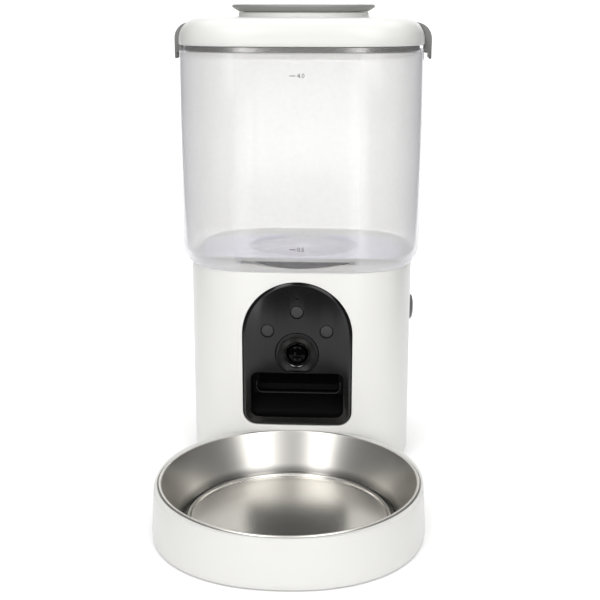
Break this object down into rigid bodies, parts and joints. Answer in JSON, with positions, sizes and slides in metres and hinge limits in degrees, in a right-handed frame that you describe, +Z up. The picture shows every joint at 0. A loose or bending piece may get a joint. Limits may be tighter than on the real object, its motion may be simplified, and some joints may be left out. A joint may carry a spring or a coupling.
{
  "type": "pet feeder",
  "caption": "Automatic pet feeder with camera: clear food tank under a latched lid, body with lens panel and outlet, steel bowl in a hooked-on ring tray.",
  "frame": {"origin": "centre of the feeder's outline on the ground, body and bowl together", "axes": "+Z up, the bowl and the camera face -Y, the side button is on the +X side"},
  "size_m": [0.1906, 0.3521, 0.341],
  "materials": {
    "white_plastic": "satin",
    "black_gloss": "gloss",
    "dark_plastic": "satin",
    "grey_plastic": "satin",
    "clear_plastic": "clear gloss",
    "lens_glass": "polished",
    "grey_seal": "satin",
    "stainless": "brushed",
    "metal": "plain",
    "gear_plastic": "satin",
    "silicone": "matt",
    "sachet": "woven",
    "board": "solder mask",
    "cell": "printed sleeve",
    "rubber": "matt",
    "ir_grey": "satin"
  },
  "bodies": {
    "base": {"base_shell": "white_plastic", "base_floor": "white_plastic", "battery_cover": "white_plastic", "battery_cover_screw": "metal", "battery_1": "cell", "battery_2": "cell", "battery_3": "cell", "floor_screw_1": "metal", "floor_screw_2": "metal", "floor_screw_3": "metal", "floor_screw_4": "metal", "foot_1": "rubber", "foot_2": "rubber", "foot_3": "rubber", "foot_4": "rubber", "front_panel": "black_gloss", "ir_window_top": "ir_grey", "ir_window_left": "ir_grey", "ir_window_right": "ir_grey", "camera_bezel": "black_gloss", "lens_barrel": "dark_plastic", "camera_lens": "lens_glass", "camera_board": "board", "chute": "dark_plastic", "feed_deck": "dark_plastic", "deck_screw_1": "metal", "deck_screw_2": "metal", "deck_screw_3": "metal", "gear_plate": "dark_plastic", "gear_motor": "metal", "main_board": "board", "speaker": "dark_plastic", "power_inlet": "dark_plastic", "button_guide": "dark_plastic", "button_spring": "metal"},
    "hopper": {"hopper": "clear_plastic"},
    "lid": {"lid": "white_plastic", "lid_seal": "grey_seal", "latch_pin_left": "metal", "latch_pin_right": "metal"},
    "latch_left": {"latch_left": "grey_plastic"},
    "latch_right": {"latch_right": "grey_plastic"},
    "cup": {"desiccant_cup": "gear_plastic", "desiccant_pack": "sachet"},
    "cap": {"desiccant_cap": "grey_plastic"},
    "tray": {"bowl_tray": "white_plastic", "tray_pad_1": "rubber", "tray_pad_2": "rubber", "tray_pad_3": "rubber"},
    "bowl": {"steel_bowl": "stainless"},
    "button": {"side_button": "dark_plastic"},
    "rotor": {"rotor": "grey_plastic", "rotor_shaft": "stainless", "rotor_gear": "gear_plastic", "agitator": "silicone"},
    "motor_shaft": {"motor_pinion": "gear_plastic"}
  },
  "joints": [
    {"name": "hopper_lift", "type": "slide", "parent": "base", "child": "hopper", "axis": [0, 0, 1], "range_m": [0, 0.12]},
    {"name": "lid_lift", "type": "slide", "parent": "hopper", "child": "lid", "axis": [0, 0, 1], "range_m": [0, 0.1]},
    {"name": "latch_right_turn", "type": "hinge", "parent": "lid", "child": "latch_right", "pos_m": [0.0846, 0.0856, 0.3261], "axis": [0, -1, 0], "range_deg": [0, 70]},
    {"name": "latch_left_turn", "type": "hinge", "parent": "lid", "child": "latch_left", "pos_m": [-0.0846, 0.0856, 0.3261], "axis": [0, 1, 0], "range_deg": [0, 70]},
    {"name": "cup_lift", "type": "slide", "parent": "lid", "child": "cup", "axis": [0, 0, 1], "range_m": [0, 0.06]},
    {"name": "cap_turn", "type": "hinge", "parent": "cup", "child": "cap", "pos_m": [0, 0.0856, 0.338], "axis": [0, 0, 1], "range_deg": [0, 60]},
    {"name": "tray_pull", "type": "slide", "parent": "base", "child": "tray", "axis": [0, -1, 0], "range_m": [0, 0.08]},
    {"name": "bowl_lift", "type": "slide", "parent": "tray", "child": "bowl", "axis": [0, 0, 1], "range_m": [0, 0.04]},
    {"name": "button_press", "type": "slide", "parent": "base", "child": "button", "axis": [-1, 0, 0], "range_m": [0, 0.002], "stiffness_N_per_m": 500, "springref_m": -0.001, "deforming": ["button_spring"]},
    {"name": "rotor_spin", "type": "hinge", "parent": "base", "child": "rotor", "pos_m": [0, 0.0856, 0.13], "axis": [0, 0, 1], "continuous": true},
    {"name": "motor_spin", "type": "hinge", "parent": "base", "child": "motor_shaft", "pos_m": [0, 0.1036, 0.11], "axis": [0, 0, 1], "continuous": true}
  ],
  "couplings": [
    {"joint": "motor_spin", "follows": "rotor_spin", "ratio": -2}
  ]
}
